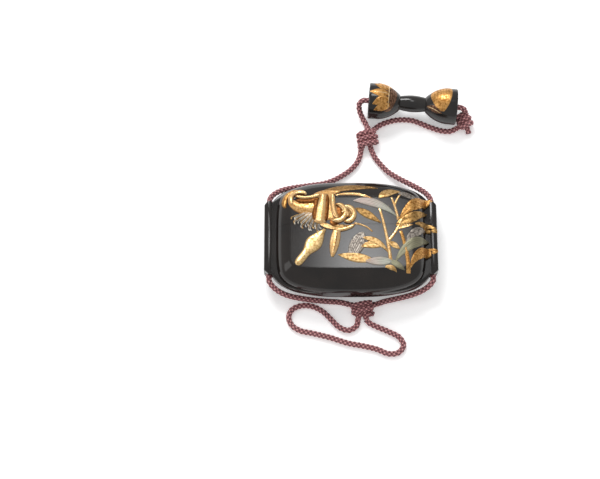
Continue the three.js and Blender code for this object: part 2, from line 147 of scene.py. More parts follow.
def frames_along(path):
    """Two unit vectors across each point of the path, turning as little as they can."""
    along = np.gradient(path, axis=0)
    along /= np.linalg.norm(along, axis=1)[:, None]
    side = np.cross(along[0], (0.0, 0.0, 1.0))
    sides = []
    for direction in along:
        side = side - direction * side.dot(direction)
        side = side / np.linalg.norm(side)
        sides.append(side)
    sides = np.array(sides)
    return sides, np.cross(along, sides)


def braid_surface(around, along):
    """How far the braid's surface lies from its middle, and where on its strand each point is."""
    turn = STRANDS_EACH_WAY * around / (2 * math.pi) + STRAND_PHASE
    right = turn + along / BRAID_LAY
    left = turn - along / BRAID_LAY
    layers = []
    for own, other, sign in ((right, left, 1), (left, right, -1)):
        across = 2 * (own % 1) - 1
        over = sign * np.sin(math.pi * other) * np.where(np.floor(own) % 2, -1, 1)
        crown = np.sqrt(np.maximum(0, 1 - (across * STRAND_TIGHTNESS) ** 2))
        layers.append((STRAND_DIP * over + STRAND_THICKNESS * crown, across, other))
    on_top = layers[0][0] >= layers[1][0]
    lift, across, run = (np.where(on_top, a, b) for a, b in zip(*layers))
    core = CORD_RADIUS - STRAND_THICKNESS - STRAND_DIP
    return core + lift, across, run


def braid(name, points):
    """A closed tube with the surface of the braid, along a smooth route through the points."""
    path = smooth_route(points, BRAID_LAY / STEPS_PER_LAY)
    side, up = frames_along(path)
    rings = len(path)
    around, along = np.meshgrid(
        np.arange(BRAID_SIDES) / BRAID_SIDES * 2 * math.pi,
        np.arange(rings) * BRAID_LAY / STEPS_PER_LAY,
    )
    radius, across, run = braid_surface(around, along)
    out = (
        np.cos(around)[..., None] * side[:, None, :]
        + np.sin(around)[..., None] * up[:, None, :]
    )
    skin = path[:, None, :] + out * radius[..., None]
    verts = np.vstack([skin.reshape(-1, 3), path[0], path[-1]])
    first, last = len(verts) - 2, len(verts) - 1
    faces = []
    for i in range(rings - 1):
        for j in range(BRAID_SIDES):
            a = i * BRAID_SIDES + j
            b = i * BRAID_SIDES + (j + 1) % BRAID_SIDES
            faces.append((a, b, b + BRAID_SIDES, a + BRAID_SIDES))
    end = (rings - 1) * BRAID_SIDES
    for j in range(BRAID_SIDES):
        k = (j + 1) % BRAID_SIDES
        faces.append((first, k, j))
        faces.append((last, end + j, end + k))
    mesh = bpy.data.meshes.new(name)
    mesh.from_pydata(verts.tolist(), [], faces)
    mesh.shade_smooth()
    strand = mesh.attributes.new("strand", "FLOAT_VECTOR", "POINT")
    place = np.stack([across, run, np.zeros_like(run)], axis=-1).reshape(-1, 3)
    strand.data.foreach_set("vector", np.vstack([place, (1, 0, 0), (1, 0, 0)]).ravel())
    cord = bpy.data.objects.new(name, mesh)
    bpy.context.scene.collection.objects.link(cord)
    return cord, path


class Shade:
    """A shader socket that does arithmetic: an expression on it adds its Math nodes."""

    def __init__(self, tree, out=None):
        self.tree = tree
        self.out = out

    def add(self, kind, settings=(), sockets=(), output=0):
        """A new node of that kind: its settings first, then the values or links of its sockets."""
        node = self.tree.nodes.new(kind)
        for name, value in dict(settings).items():
            setattr(node, name, value)
        for name, value in dict(sockets).items():
            if isinstance(value, Shade):
                self.tree.links.new(value.out, node.inputs[name])
            else:
                node.inputs[name].default_value = value
        return Shade(self.tree, node.outputs[output])

    def math(self, operation, *others):
        return self.add("ShaderNodeMath", {"operation": operation}, dict(enumerate((self, *others))))

    def __add__(self, other):
        return self.math("ADD", other)

    __radd__ = __add__

    def __sub__(self, other):
        return self.math("SUBTRACT", other)

    def __rsub__(self, other):
        return self.add("ShaderNodeMath", {"operation": "SUBTRACT"}, {0: other, 1: self})

    def __mul__(self, other):
        return self.math("MULTIPLY", other)

    __rmul__ = __mul__

    def between(self, low, high):
        """0 up to low, 1 from high, smooth in between."""
        settings = {"interpolation_type": "SMOOTHSTEP"}
        return self.add("ShaderNodeMapRange", settings, {"Value": self, "From Min": low, "From Max": high})

    def blend(self, dark, light):
        """The colour dark where this is 0 and light where it is 1."""
        first, second = (paint if isinstance(paint, Shade) else (*paint, 1) for paint in (dark, light))
        return self.add("ShaderNodeMix", {"data_type": "RGBA"}, {0: self, 6: first, 7: second}, output=2)

    def into(self, shader, socket):
        self.tree.links.new(self.out, shader.inputs[socket])


def finish(name, **fixed):
    """A material whose fixed values sit on its shader's own sockets."""
    material = bpy.data.materials.new(name)
    material.use_nodes = True
    shader = material.node_tree.nodes["Principled BSDF"]
    for socket, value in fixed.items():
        shader.inputs[socket.replace("_", " ")].default_value = value
    return material, shader, Shade(material.node_tree)


def silk():
    """Dyed silk with painted light: a painted highlight where a strand crowns over the others, and painted
    shade, nearly black, in the gaps between.
    """
    material, shader, start = finish("silk", Roughness=0.55, Sheen_Weight=0.25, Sheen_Roughness=0.4)
    shader.inputs["Sheen Tint"].default_value = (1, 0.8, 0.78, 1)
    strand = start.add("ShaderNodeAttribute", {"attribute_name": "strand"}, output=1)
    across = start.add("ShaderNodeSeparateXYZ", (), {0: strand}, 0)
    run = start.add("ShaderNodeSeparateXYZ", (), {0: strand}, 1)
    place = start.add("ShaderNodeTexCoord", (), (), output=3)
    grain = start.add("ShaderNodeTexNoise", (), {"Vector": place, "Scale": 900, "Detail": 3})
    crown = 1 - across.math("ABSOLUTE")
    crown_light_gap_shade = crown * (run.math("PINGPONG", 0.5) * 1.6 + 0.2)
    threads = (across * 7 + run * 2.5 + grain * 0.5).math("PINGPONG", 1)
    # painted shade: the silk darkens nearly to black in the gaps between strands
    body = crown_light_gap_shade.between(0.06, 0.4).blend((0.012, 0.003, 0.004), (0.32, 0.095, 0.108))
    # painted highlight: pale pink where a strand crowns over the others
    lit = (crown_light_gap_shade * (0.7 + threads * 0.5)).between(0.34, 0.78).blend(body, (0.8, 0.42, 0.41))
    lit.into(shader, "Base Color")
    bump = start.add("ShaderNodeBump", (), {"Strength": 0.35, "Distance": 0.00006, "Height": threads})
    bump.into(shader, "Normal")
    return material


SILK = silk()


def lay_cord(name, points, *replaced):
    """One stretch of the cord, riding with the case and standing for its CAD tubes."""
    cord, path = braid(name, points)
    cord.data.materials.append(SILK)
    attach(cord, "root")
    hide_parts(*replaced)
    return cord, path


def declare(path):
    path[::PATH_KEPT].tolist() + [path[-1].tolist()]


def ring(centre, axis, across, wide, high, turns, pitch, start=0.0):
    """Points of cord wound round an axis: flattened turns that step along it."""
    count = round(turns * RING_POINTS)
    flat = axis.cross(across).normalized()
    points = []
    for i in range(count + 1):
        turn = start + 2 * math.pi * turns * i / count
        step = pitch * turns * (i / count - 0.5)
        points.append(centre + axis * step + across * wide * math.cos(turn) + flat * high * math.sin(turn))
    return [tuple(point) for point in points]


def deselect():
    if bpy.context.object and bpy.context.object.mode == "EDIT":
        bpy.ops.object.mode_set(mode="OBJECT")
    bpy.ops.object.select_all(action="DESELECT")


def join(name, pieces):
    deselect()
    for piece in pieces:
        piece.select_set(True)
    bpy.context.view_layer.objects.active = pieces[0]
    bpy.ops.object.join()
    pieces[0].name = name
    return pieces[0]


def tied(name, node, routes):
    """A knot: its turns of braid as one piece."""
    knot = join(name, [braid(name, route)[0] for route in routes])
    knot.data.materials.append(SILK)
    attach(knot, "root")
    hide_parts(node)
    return knot


left_cord, left_path = lay_cord(
    "cord_left", LEFT_STRETCH, "cord_top_left", "cord_in_left_runner", "cord_bottom_left")
right_cord, right_path = lay_cord(
    "cord_right", RIGHT_STRETCH, "cord_top_right", "cord_in_right_runner", "cord_bottom_right")
loop_cord, loop_path = lay_cord("cord_below", LOWER_LOOP, "cord_loop")
inner_cord, inner_path = lay_cord(
    "cord_through_netsuke", NETSUKE_STRETCH, "cord_inner", "cord_in_netsuke", "cord_netsuke_end")
outer_cord, outer_path = lay_cord("cord_beside_netsuke", OUTER_STRETCH, "cord_outer")

# The knots: turns of the cord wound round the strands that they hold, with the ends tucked under.
upper = Vector((0.0096, 0.0578, 0.0033))
upper_knot = tied("upper_knot", "knot_upper", [
    ring(upper, Vector((0.12, -1, 0)).normalized(), Vector((1, 0.12, 0)), 0.0044, 0.0018, 2.6, 0.003, 0.3),
    [(0.0099, 0.0644, ON_TABLE), (0.0099, 0.0641, 0.0034), (0.0096, 0.0628, 0.0052),
     (0.0093, 0.0612, 0.0058), (0.0091, 0.0596, 0.0044)],
    [(0.0129, 0.0636, ON_TABLE), (0.0128, 0.0632, 0.0036), (0.0124, 0.0619, 0.0047),
     (0.012, 0.0602, 0.0044)],
    [(0.0062, 0.0524, ON_TABLE), (0.0066, 0.0538, 0.0018), (0.0074, 0.0556, 0.0028),
     (0.008, 0.0575, 0.0033)],
    [(0.0116, 0.0524, ON_TABLE), (0.0112, 0.0538, 0.0018), (0.0106, 0.0556, 0.0028),
     (0.0102, 0.0575, 0.0033)],
])
lower = Vector((0.0056, -0.0334, 0.0033))
lower_knot = tied("lower_knot", "knot_lower", [
    ring(lower, Vector((0.1, -1, 0)).normalized(), Vector((1, 0.1, 0)), 0.0045, 0.0018, 2.0, 0.0028, 0.2),
    [(-0.0016, -0.0302, ON_TABLE), (0.002, -0.031, ON_TABLE), (0.0056, -0.0312, 0.0022),
     (0.0092, -0.031, ON_TABLE), (0.0129, -0.0302, ON_TABLE)],
    [(0.0035, -0.0382, ON_TABLE), (0.004, -0.0358, 0.0022), (0.0046, -0.0334, 0.0033)],
    [(0.0074, -0.0382, ON_TABLE), (0.0074, -0.0358, 0.0022), (0.007, -0.0334, 0.0033)],
])
end = Vector((0.0594, 0.0682, 0.0033))
end_knot = tied("end_knot", "knot_end", [
    ring(end, Vector((0.35, -1, 0)).normalized(), Vector((1, 0.35, 0)), 0.0028, 0.0018, 2.4, 0.0029, 0.5),
    [(0.0595, 0.0722, 0.0069), (0.0598, 0.0712, 0.0056), (0.0598, 0.0696, 0.0046)],
    [(0.0552, 0.0646, ON_TABLE), (0.057, 0.0656, 0.002), (0.0586, 0.0668, 0.0034)],
    [(0.0598, 0.066, 0.0034), (0.0612, 0.0636, 0.002), (0.0616, 0.0618, ON_TABLE)],
])
declare(left_path)
declare(right_path)
declare(loop_path)
declare(inner_path)
declare(outer_path)


# ---- the case ----
# A wide inro of thin wood under polished black lacquer: a hollow body and a lid that slides over the
# body's inner lip. Flat panels, domed edges all round, and a drilled rib down each side for the cord.
THICKNESS = 0.022
MID = THICKNESS / 2
PANEL_WIDE, PANEL_LONG, PANEL_SQUARENESS = 0.0304, 0.0188, 9
PANEL_INSET_SHARE = 0.6  # inside a wall, the panel shrinks by this share of the wall
GIRTH_WIDE, GIRTH_LONG, GIRTH_SQUARENESS = 0.0426, 0.0288, 2.9
SIDE = 0.0368  # half width between the two grooves
CORNER_BLEND = 16
CORNER_SPACING = 0.6  # under 1, the grid's columns crowd towards the corners
WALL_HALF = 0.003  # half height of the upright band at the ends
BEVEL_START = math.radians(48)
SEAM = 0.004
SEAM_GAP = 0.00012
BODY_WALL = 0.003
LID_WALL = 0.0015
LIP_TOP = SEAM + 0.0045
LIP_FOOT = SEAM - 0.003

RIB_INNER, RIB_OUTER = 0.039, 0.0425
RIB_HALF_HEIGHT = 0.004
RIB_HALF_LENGTH = 0.0192
RIB_CORNER_CUT = 0.0022
RIB_ROUNDING = 0.0013
RIB_SOFTENING = 0.0003
TINY = 0.00001
MERGE = 1e-6  # points closer than this are one
WEB_HALF_HEIGHT = 0.0024
WEB_INNER = 0.034
WEB_OVERLAP = 0.001
BORE_X, BORE_RADIUS = 0.04, 0.00185
LEDGE_WIDE, LEDGE_LONG, LEDGE_SQUARENESS = 0.0418, 0.0286, 3.5  # the thin plate between the ribs
LEDGE_ROUNDING = 0.0005
PANEL_RIM = 0.0012  # flat band inside the edge of each panel
PANEL_ROUNDING = 0.0004
LIP_CLEARANCE = 0.0003
BLOCK_WIDE, BLOCK_DEEP = 0.1, 0.04  # cutting blocks, larger than the case


def reach(wide, long, squareness, bearing):
    across = abs(np.cos(bearing)) / wide
    along = abs(np.sin(bearing)) / long
    return (across ** squareness + along ** squareness) ** (-1 / squareness)


def panel_reach(bearing, inset=0.0):
    less = PANEL_INSET_SHARE * inset
    return reach(PANEL_WIDE - less, PANEL_LONG - less, PANEL_SQUARENESS, bearing)


def girth_reach(bearing, inset=0.0):
    full = reach(GIRTH_WIDE - inset, GIRTH_LONG - inset, GIRTH_SQUARENESS, bearing)
    side = (SIDE - inset) / np.maximum(abs(np.cos(bearing)), MERGE)
    return (full ** -CORNER_BLEND + side ** -CORNER_BLEND) ** (-1 / CORNER_BLEND)


def edge_height(spread, inset=0.0):
    """Height above the middle of the domed edge: spread is 0 at the panel and 1 at the girth."""
    start = math.sin(BEVEL_START)
    fall = np.sqrt(np.maximum(0, 1 - (start + (1 - start) * spread) ** 2)) / math.cos(BEVEL_START)
    return WALL_HALF + (MID - inset - WALL_HALF) * fall


def apply_modifier(piece, kind, **settings):
    modifier = piece.modifiers.new(kind.lower(), kind)
    for name, value in settings.items():
        setattr(modifier, name, value)
    bpy.context.view_layer.objects.active = piece
    bpy.ops.object.modifier_apply(modifier=modifier.name)


def cut(piece, tool, operation="DIFFERENCE"):
    """Joins or cuts the piece with a closed tool, which is used up."""
    apply_modifier(piece, "BOOLEAN", object=tool, operation=operation, solver="MANIFOLD")
    bpy.data.objects.remove(tool)


def edit_all():
    bpy.ops.object.mode_set(mode="EDIT")
    bpy.ops.mesh.select_all(action="SELECT")


def leave_edit():
    """Turns every face outwards and leaves edit mode."""
    bpy.ops.mesh.select_all(action="SELECT")
    bpy.ops.mesh.normals_make_consistent(inside=False)
    bpy.ops.object.mode_set(mode="OBJECT")


def form(name, inset=0.0, around=192, edge_steps=26):
    """The case without its ribs: a grid wrapped round it, closed by the two panels."""
    deselect()
    bpy.ops.mesh.primitive_grid_add(x_subdivisions=around, y_subdivisions=2 * edge_steps + 1)
    piece = bpy.context.object
    piece.name = name
    half = np.linspace(0, 1, edge_steps + 1)
    spreads = np.concatenate([half, half[::-1]])
    heights = np.concatenate([-edge_height(half, inset), edge_height(half[::-1], inset)])
    grid = np.zeros(3 * len(piece.data.vertices))
    piece.data.vertices.foreach_get("co", grid)
    grid = grid.reshape(-1, 3)
    turn = (grid[:, 0] + 1) * math.pi
    soft = [np.sign(v) * abs(v) ** CORNER_SPACING for v in (np.sin(turn), np.cos(turn))]
    bearing = np.arctan2(GIRTH_LONG * soft[0], SIDE * soft[1])
    level = np.round((grid[:, 1] + 1) / 2 * (len(spreads) - 1)).astype(int)
    panel = panel_reach(bearing, inset)
    radius = panel + (girth_reach(bearing, inset) - panel) * spreads[level]
    place = np.stack([radius * np.cos(bearing), radius * np.sin(bearing), MID + heights[level]], axis=1)
    piece.data.vertices.foreach_set("co", place.ravel())
    edit_all()
    bpy.ops.mesh.remove_doubles(threshold=MERGE)
    bpy.ops.mesh.select_all(action="DESELECT")
    bpy.ops.mesh.select_non_manifold()
    bpy.ops.mesh.edge_face_add()
    leave_edit()
    return piece


def choose_edges(chosen):
    """Selects, in edit mode, the edges whose two ends pass the test."""
    bpy.ops.mesh.select_mode(type="EDGE")
    bpy.ops.mesh.select_all(action="DESELECT")
    mesh = bmesh.from_edit_mesh(bpy.context.object.data)
    for edge in mesh.edges:
        edge.select_set(bool(chosen(*(vertex.co for vertex in edge.verts))))
    bmesh.update_edit_mesh(bpy.context.object.data)


def rib():
    """One side's cord rib with its web, mirrored to the other side."""
    deselect()
    wide = RIB_OUTER - RIB_INNER
    length, outer, inner = RIB_HALF_LENGTH - TINY, RIB_OUTER - TINY, RIB_INNER + TINY
    bpy.ops.mesh.primitive_cube_add(size=1, location=((RIB_INNER + RIB_OUTER) / 2, 0, MID),
                                    scale=(wide, 2 * RIB_HALF_LENGTH, 2 * RIB_HALF_HEIGHT))
    piece = bpy.context.object
    bpy.ops.object.transform_apply()
    bpy.ops.object.mode_set(mode="EDIT")
    for width, segments, chosen in (
        (RIB_CORNER_CUT, 1, lambda a, b: min(a.x, b.x) > outer and abs(a.z - b.z) > TINY),
        (RIB_ROUNDING, 6, lambda a, b: min(a.x, b.x) > outer and abs(a.y - b.y) > TINY),
        (RIB_SOFTENING, 3, lambda a, b: min(abs(a.y), abs(b.y)) > length or max(a.x, b.x) < inner),
    ):
        choose_edges(chosen)
        bpy.ops.mesh.bevel(offset=width, segments=segments, affect="EDGES")
    bpy.ops.object.mode_set(mode="OBJECT")
    web_wide = RIB_INNER + WEB_OVERLAP - WEB_INNER
    web_long = 2 * RIB_HALF_LENGTH - 2 * RIB_SOFTENING
    bpy.ops.mesh.primitive_cube_add(size=1, location=(WEB_INNER + web_wide / 2, 0, MID),
                                    scale=(web_wide, web_long, 2 * WEB_HALF_HEIGHT))
    web = bpy.context.object
    bpy.ops.object.transform_apply()
    cut(piece, web, "UNION")
    apply_modifier(piece, "MIRROR")
    return piece


def ledge():
    """The thin plate between the ribs, a little fuller at the corners than the domed form."""
    deselect()
    bpy.ops.mesh.primitive_cylinder_add(
        vertices=144, radius=1, depth=2 * WEB_HALF_HEIGHT, location=(0, 0, MID))
    piece = bpy.context.object
    bpy.ops.object.transform_apply()
    for vertex in piece.data.vertices:
        bearing = math.atan2(LEDGE_LONG * vertex.co.y, LEDGE_WIDE * vertex.co.x)
        far = reach(LEDGE_WIDE, LEDGE_LONG, LEDGE_SQUARENESS, bearing)
        vertex.co.x, vertex.co.y = far * math.cos(bearing), far * math.sin(bearing)
    apply_modifier(piece, "BEVEL", width=LEDGE_ROUNDING, segments=3, limit_method="ANGLE",
                   angle_limit=math.radians(60))
    return piece


def slab(low, high):
    """A block across the whole case between two heights along it, to cut with."""
    deselect()
    bpy.ops.mesh.primitive_cube_add(size=1, location=(0, (low + high) / 2, MID),
                                    scale=(BLOCK_WIDE, high - low, BLOCK_DEEP))
    bpy.ops.object.transform_apply()
    return bpy.context.object


def outside():
    """The whole case as one solid: domed form, ribs and the two bores for the cord."""
    piece = form("case")
    bpy.ops.object.mode_set(mode="EDIT")
    bpy.ops.mesh.select_mode(type="FACE")
    bpy.ops.mesh.select_all(action="DESELECT")
    bpy.ops.mesh.select_face_by_sides(number=4, type="GREATER")
    bpy.ops.mesh.inset(thickness=PANEL_RIM)
    bpy.ops.object.mode_set(mode="OBJECT")
    apply_modifier(piece, "BEVEL", width=PANEL_ROUNDING, segments=3, limit_method="ANGLE",
                   angle_limit=math.radians(12))
    cut(piece, ledge(), "UNION")
    cut(piece, rib(), "UNION")
    for side in (-1, 1):
        deselect()
        bpy.ops.mesh.primitive_cylinder_add(
            vertices=32, radius=BORE_RADIUS, depth=3 * RIB_HALF_LENGTH,
            location=(side * BORE_X, 0, MID), rotation=(math.pi / 2, 0, 0))
        bpy.ops.object.transform_apply()
        cut(piece, bpy.context.object)
    return piece


FAR = 0.05  # beyond either end of the case
case_body = outside()
case_lid = case_body.copy()
case_lid.data = case_body.data.copy()
bpy.context.scene.collection.objects.link(case_lid)
case_body.name, case_lid.name = "body_of_case", "lid_of_case"

cut(case_body, slab(-FAR, SEAM - SEAM_GAP / 2), "INTERSECT")
lip = form("lip", LID_WALL + LIP_CLEARANCE, around=96, edge_steps=10)
cut(lip, slab(LIP_FOOT, LIP_TOP), "INTERSECT")
cut(case_body, lip, "UNION")
cut(case_body, form("hollow", BODY_WALL, around=96, edge_steps=10))
cut(case_lid, slab(SEAM + SEAM_GAP / 2, FAR), "INTERSECT")
cut(case_lid, form("hollow", LID_WALL, around=96, edge_steps=10))


def lacquer(name, tint=(0.008, 0.0064, 0.0058)):
    """Deep black lacquer with a faint brown depth, hand-polished, so its gloss is not quite even."""
    material, shader, start = finish(name, IOR=1.46)
    place = start.add("ShaderNodeTexCoord", (), (), output=3)
    cloud = start.add("ShaderNodeTexNoise", (), {"Vector": place, "Scale": 60, "Detail": 3})
    grit = start.add("ShaderNodeTexNoise", (), {"Vector": place, "Scale": 1400, "Detail": 2})
    warm = tuple(2.1 * c for c in (tint[0], tint[1] * 0.92, tint[2] * 0.85))
    cloud.between(0.3, 0.75).blend(tint, warm).into(shader, "Base Color")
    (0.1 + cloud * 0.06 + grit.between(0.62, 0.8) * 0.05).into(shader, "Roughness")
    bump = start.add("ShaderNodeBump", (), {"Strength": 0.05, "Distance": 0.0001, "Height": cloud})
    bump.into(shader, "Normal")
    return material


def smooth(piece, degrees):
    """Smooth shading, with edges sharper than the angle kept crisp."""
    deselect()
    piece.select_set(True)
    bpy.context.view_layer.objects.active = piece
    bpy.ops.object.shade_smooth_by_angle(angle=math.radians(degrees))


BLACK_LACQUER = lacquer("black_lacquer")
for piece, node in ((case_body, "case_body"), (case_lid, "case_lid")):
    smooth(piece, 32)
    piece.data.materials.clear()
    piece.data.materials.append(BLACK_LACQUER)
    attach(piece, "root")
    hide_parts(node)


# ---- the raised lilies ----
# Takamaki-e: flower, bud, stems and leaves built up in lacquer and charcoal powder and finished with gold,
# silver and slips of shell. They cross the seam, so they are parted there with the lid and the body.
WIDTH_ALONG = {
    "stem": lambda s: 1 - 0.3 * s,
    "leaf": lambda s: 0.12 * (1 - s) + 0.95 * np.sin(math.pi * s ** 0.85) ** 0.8,
    "petal": lambda s: 0.3 * (1 - s) + 0.8 * np.sin(math.pi * np.minimum(1, 0.1 + 0.86 * s)) ** 0.6,
    "roll": lambda s: np.minimum(1, np.minimum(0.45 + 3 * s, 0.3 + 4 * (1 - s))),
    "bell": lambda s: (0.58 + 0.42 * np.minimum(1, s * 1.8) ** 1.5)
    * np.sqrt(1 - np.clip((s - 0.86) / 0.14, 0, 1) ** 4),
    "blade": lambda s: 0.16 * (1 - s) + 0.95 * np.sin(math.pi * s ** 1.35) ** 0.8,
    "bud": lambda s: np.where(
        s < 0.4, 0.2 + 0.8 * np.sin(math.pi / 0.8 * np.minimum(s, 0.4)) ** 1.6,
        (0.52 + 0.48 * np.cos(math.pi * np.clip((s - 0.4) / 0.6, 0, 0.5)) ** 2) * np.sqrt(1 - s ** 24)),
}
# Height over a strip: t runs from -1 to 1 across it, s from 0 to 1 along it.
DOME = {
    "stem": lambda s, t: 0.45 * np.sqrt(1 - t ** 2),
    "leaf": lambda s, t: 0.3 * (1 - t ** 4) + 0.12 * np.exp(-((abs(t) - 0.8) / 0.14) ** 2)
    - 0.12 * np.exp(-(t / 0.1) ** 2),
    "blade": lambda s, t: 0.34 * (1 - t ** 4) + 0.1 * t + 0.1 * np.exp(-((abs(t) - 0.8) / 0.14) ** 2)
    - 0.12 * np.exp(-(t / 0.1) ** 2),
    "petal": lambda s, t: 0.75 * np.sqrt(1 - t ** 2) + 0.14 * np.cos(5 * t) * np.sin(math.pi * s),
    "roll": lambda s, t: 1.0 * np.sqrt(1 - t ** 2),
    "bell": lambda s, t: 0.95 * np.sqrt(1 - t ** 2) + 0.1 * np.cos(4 * t),
    "bud": lambda s, t: 1.0 * np.sqrt(1 - t ** 2) + 0.07 * np.cos(9 * t) * (1 - s),
}
MM = 0.001
STEP_ALONG = 0.00035
STEPS_ACROSS = 14
THINNEST = 0.06  # share of its width that a strip keeps at its very ends
END_RISE, END_SLOPE = 0.25, 12  # a strip starts at this share of its height and gains it this fast
RELIEF_ROOT = 0.0005  # how deep each strip is rooted in the case
EDGE_SINK = -0.12  # a strip's edges run just below the surface, in mm
BRIDGE_STEP = 0.0005  # the ground under the relief is the average of heights this far apart
BRIDGE_REACH = 3  # on each side of the point
SLOPE_STEP = 0.0002
STEEPEST = 1.2  # the relief leans out no further than this slope

# Each strip in mm and degrees, then its finish: kind, x, y, heading, turn, how late it turns, length,
# width, lift.
# Strips finished in the near-black gold are painted shade in the folds and in the hollows under the petals.
LILY_STRIPS = [
    ("petal", -14.9, 13.8, 200, -78, 1.5, 17, 7, 0.0, "petal_gold"),
    ("roll", -15.2, 17.4, 207, -44, 1, 12.4, 2.8, 0.05, "shade_darkened_gold"),
    ("roll", -14.4, 19.5, 206, -40, 1, 13, 1.7, 0.4, "bright_gold"),
    ("roll", -26.2, 22.2, 192, 104, 1.2, 12.8, 2.4, 0.05, "orange_gold"),
    ("roll", -21.8, 19.3, 128, 188, 1, 13.8, 2.4, 0.35, "bright_gold"),
    ("roll", -16.6, 17.6, -100, 12, 1, 12.5, 3.2, 0.05, "shade_darkened_gold"),
    ("roll", -11.6, 19.4, -92, -4, 1, 14.6, 2.8, 0.1, "shade_darkened_gold"),
    ("bell", -13.4, 19.8, -96, -4, 1, 16, 6.4, 0.35, "bright_gold"),
    ("leaf", -19.5, 17.2, 30, -30, 1, 15, 4.6, 0.1, "petal_gold"),
    ("bell", -11.2, 20.2, -88, 8, 1, 14.5, 10.5, -0.55, "petal_gold"),
    ("roll", -8.9, 20, -90, 50, 3, 14.5, 2.6, 0.45, "bright_gold"),
    ("petal", -3.2, 14.6, -104, -34, 1, 13.6, 10.4, -0.5, "shade_darkened_gold"),
    ("roll", -9.2, 6.2, -30, 215, 1, 16, 2.7, 0.35, "bright_gold"),
    ("roll", -3.8, 12.7, 20, -215, 1, 14.5, 2.8, 0.35, "bright_gold"),
    ("roll", -4.6, 9.4, 60, -200, 1, 5.6, 1.6, 0.5, "bright_gold"),
    ("leaf", -2.5, 11.8, -45, -50, 1, 5.5, 2, 0.2, "brown_gold"),
    ("leaf", -15, 3.6, -10, -20, 1, 8, 2.6, 0.4, "bright_gold"),
    ("roll", -8, 0.8, -4, 42, 1, 10.5, 2, 0.1, "bright_gold"),
    ("leaf", -9, 2.4, -6, 22, 1, 8.5, 2.6, 0.1, "brown_gold"),
    ("petal", -6.9, 0.9, -101, 2, 1, 14.2, 5, 0.2, "bright_gold"),
    ("leaf", -6.7, -0.4, -103, 4, 1, 11.5, 0.9, 0.75, "shade_darkened_gold"),
    ("bud", -12.8, 1.2, -127, 0, 1, 23, 8, 0.1, "pale_gold"),
    ("stem", 18.8, -15.5, 95, 10, 1, 28, 1.8, 0.12, "bright_gold"),
    ("stem", 17.8, -5, 48, 24, 1, 14, 1.6, 0.1, "bright_gold"),
    ("stem", 27.3, -20.8, 90, 18, 1, 21.5, 2.2, 0.0, "orange_gold"),
    ("stem", 23, 6, 99, 12, 1, 12.5, 1.5, 0.0, "bright_gold"),
    ("stem", 21.3, 13.8, 72, -18, 1, 6.5, 1.2, 0.0, "bright_gold"),
    ("stem", 1.5, 4.2, -2, -48, 1, 10, 1.1, 0.0, "bright_gold"),
    ("leaf", 5.8, -0.4, -116, 2, 1, 16.2, 7.4, 0.0, "silver_hatched"),
    ("leaf", 10, -14.6, 172, -2, 1, 16.8, 4.8, 0.1, "leaf_gold"),
    ("leaf", 19.5, -15.4, 177, 6, 1, 13.4, 4.6, 0.15, "pink_shell"),
    ("leaf", 18, -14.8, -24, -18, 1, 9, 3.2, 0.0, "green_shell"),
    ("leaf", 16, -18.2, 12, -70, 1, 6.5, 2.4, 0.0, "leaf_gold"),
    ("leaf", 14.5, -7.6, 158, 50, 1, 10.6, 3.8, 0.05, "leaf_gold"),
    ("blade", 17.6, -10.6, 120, 58, 1, 15, 3.2, 0.1, "leaf_gold"),
    ("blade", 14.4, 4.6, 142, 12, 1, 14.6, 4, 0.05, "rimmed_gold"),
    ("leaf", 18.4, -5.4, -30, -14, 1, 6.2, 3, 0.0, "leaf_gold"),
    ("blade", 23.8, 7, 57, -44, 1, 21, 5.8, 0.1, "orange_gold"),
    ("leaf", 31.5, 17.6, 148, 24, 1, 9, 3.4, 0.0, "silver_hatched"),
    ("leaf", 21.8, 3.2, 30, -2, 1, 18, 5, 0.15, "rimmed_gold"),
    ("leaf", 21.4, 1.4, 24, -20, 1, 9, 2.2, 0.05, "bright_gold"),
    ("blade", 31.2, 4.4, 14, -50, 1, 12, 4.4, 0.05, "rimmed_gold"),
    ("blade", 26.2, -5.6, 60, -44, 1, 13.2, 4.2, 0.05, "silver_hatched"),
    ("blade", 21.4, -15, 62, -52, 1, 21.6, 5.2, 0.12, "green_shell"),
    ("blade", 28.4, -18.2, 74, -76, 1, 19.6, 5, 0.05, "orange_gold"),
    ("leaf", -16.5, 19.8, 24, -34, 1, 30.5, 3.6, 0.0, "brown_gold"),
    ("leaf", -7.5, 19, 14, -40, 1, 19, 1.6, 0.1, "bright_gold"),
    ("blade", 21.8, 8.2, 132, 54, 1, 23, 4.6, 0.1, "pink_shell"),
    ("blade", 24.4, 21.2, 168, 62, 1, 12, 4.6, 0.05, "leaf_gold"),
]

# The stamens: a fan of hair-thin silver and gold threads from under the middle petals, each one
# ending in its anther.
STAMENS = 21
STAMEN_BEARING, STAMEN_SPREAD = 202, 68
STAMEN_ROOT, STAMEN_ROOT_SHIFT = (-21, 10.8), (5.5, -2.4)
STAMEN_LENGTH, STAMEN_SHORTENING, STAMEN_UNEVENNESS = 8.6, 1.6, 1.2
STAMEN_WIDTH, STAMEN_LIFT = 0.5, -0.05
ANTHER_LENGTH, ANTHER_WIDTH, ANTHER_BEND = 1.4, 0.7, 60
for i in range(STAMENS):
    share = i / (STAMENS - 1)
    bearing = STAMEN_BEARING + STAMEN_SPREAD * share
    root_x, root_y = (a + b * share for a, b in zip(STAMEN_ROOT, STAMEN_ROOT_SHIFT))
    far = STAMEN_LENGTH - STAMEN_SHORTENING * share + STAMEN_UNEVENNESS * math.sin(5 * i)
    tip_x = root_x + far * math.cos(math.radians(bearing))
    tip_y = root_y + far * math.sin(math.radians(bearing))
    thread = "silver_thread" if i % 3 else "leaf_gold"
    LILY_STRIPS += [
        ("stem", root_x, root_y, bearing, 0, 1, far, STAMEN_WIDTH, STAMEN_LIFT, thread),
        ("leaf", tip_x, tip_y, bearing + ANTHER_BEND, 0, 1, ANTHER_LENGTH, ANTHER_WIDTH,
         STAMEN_LIFT, thread),
    ]


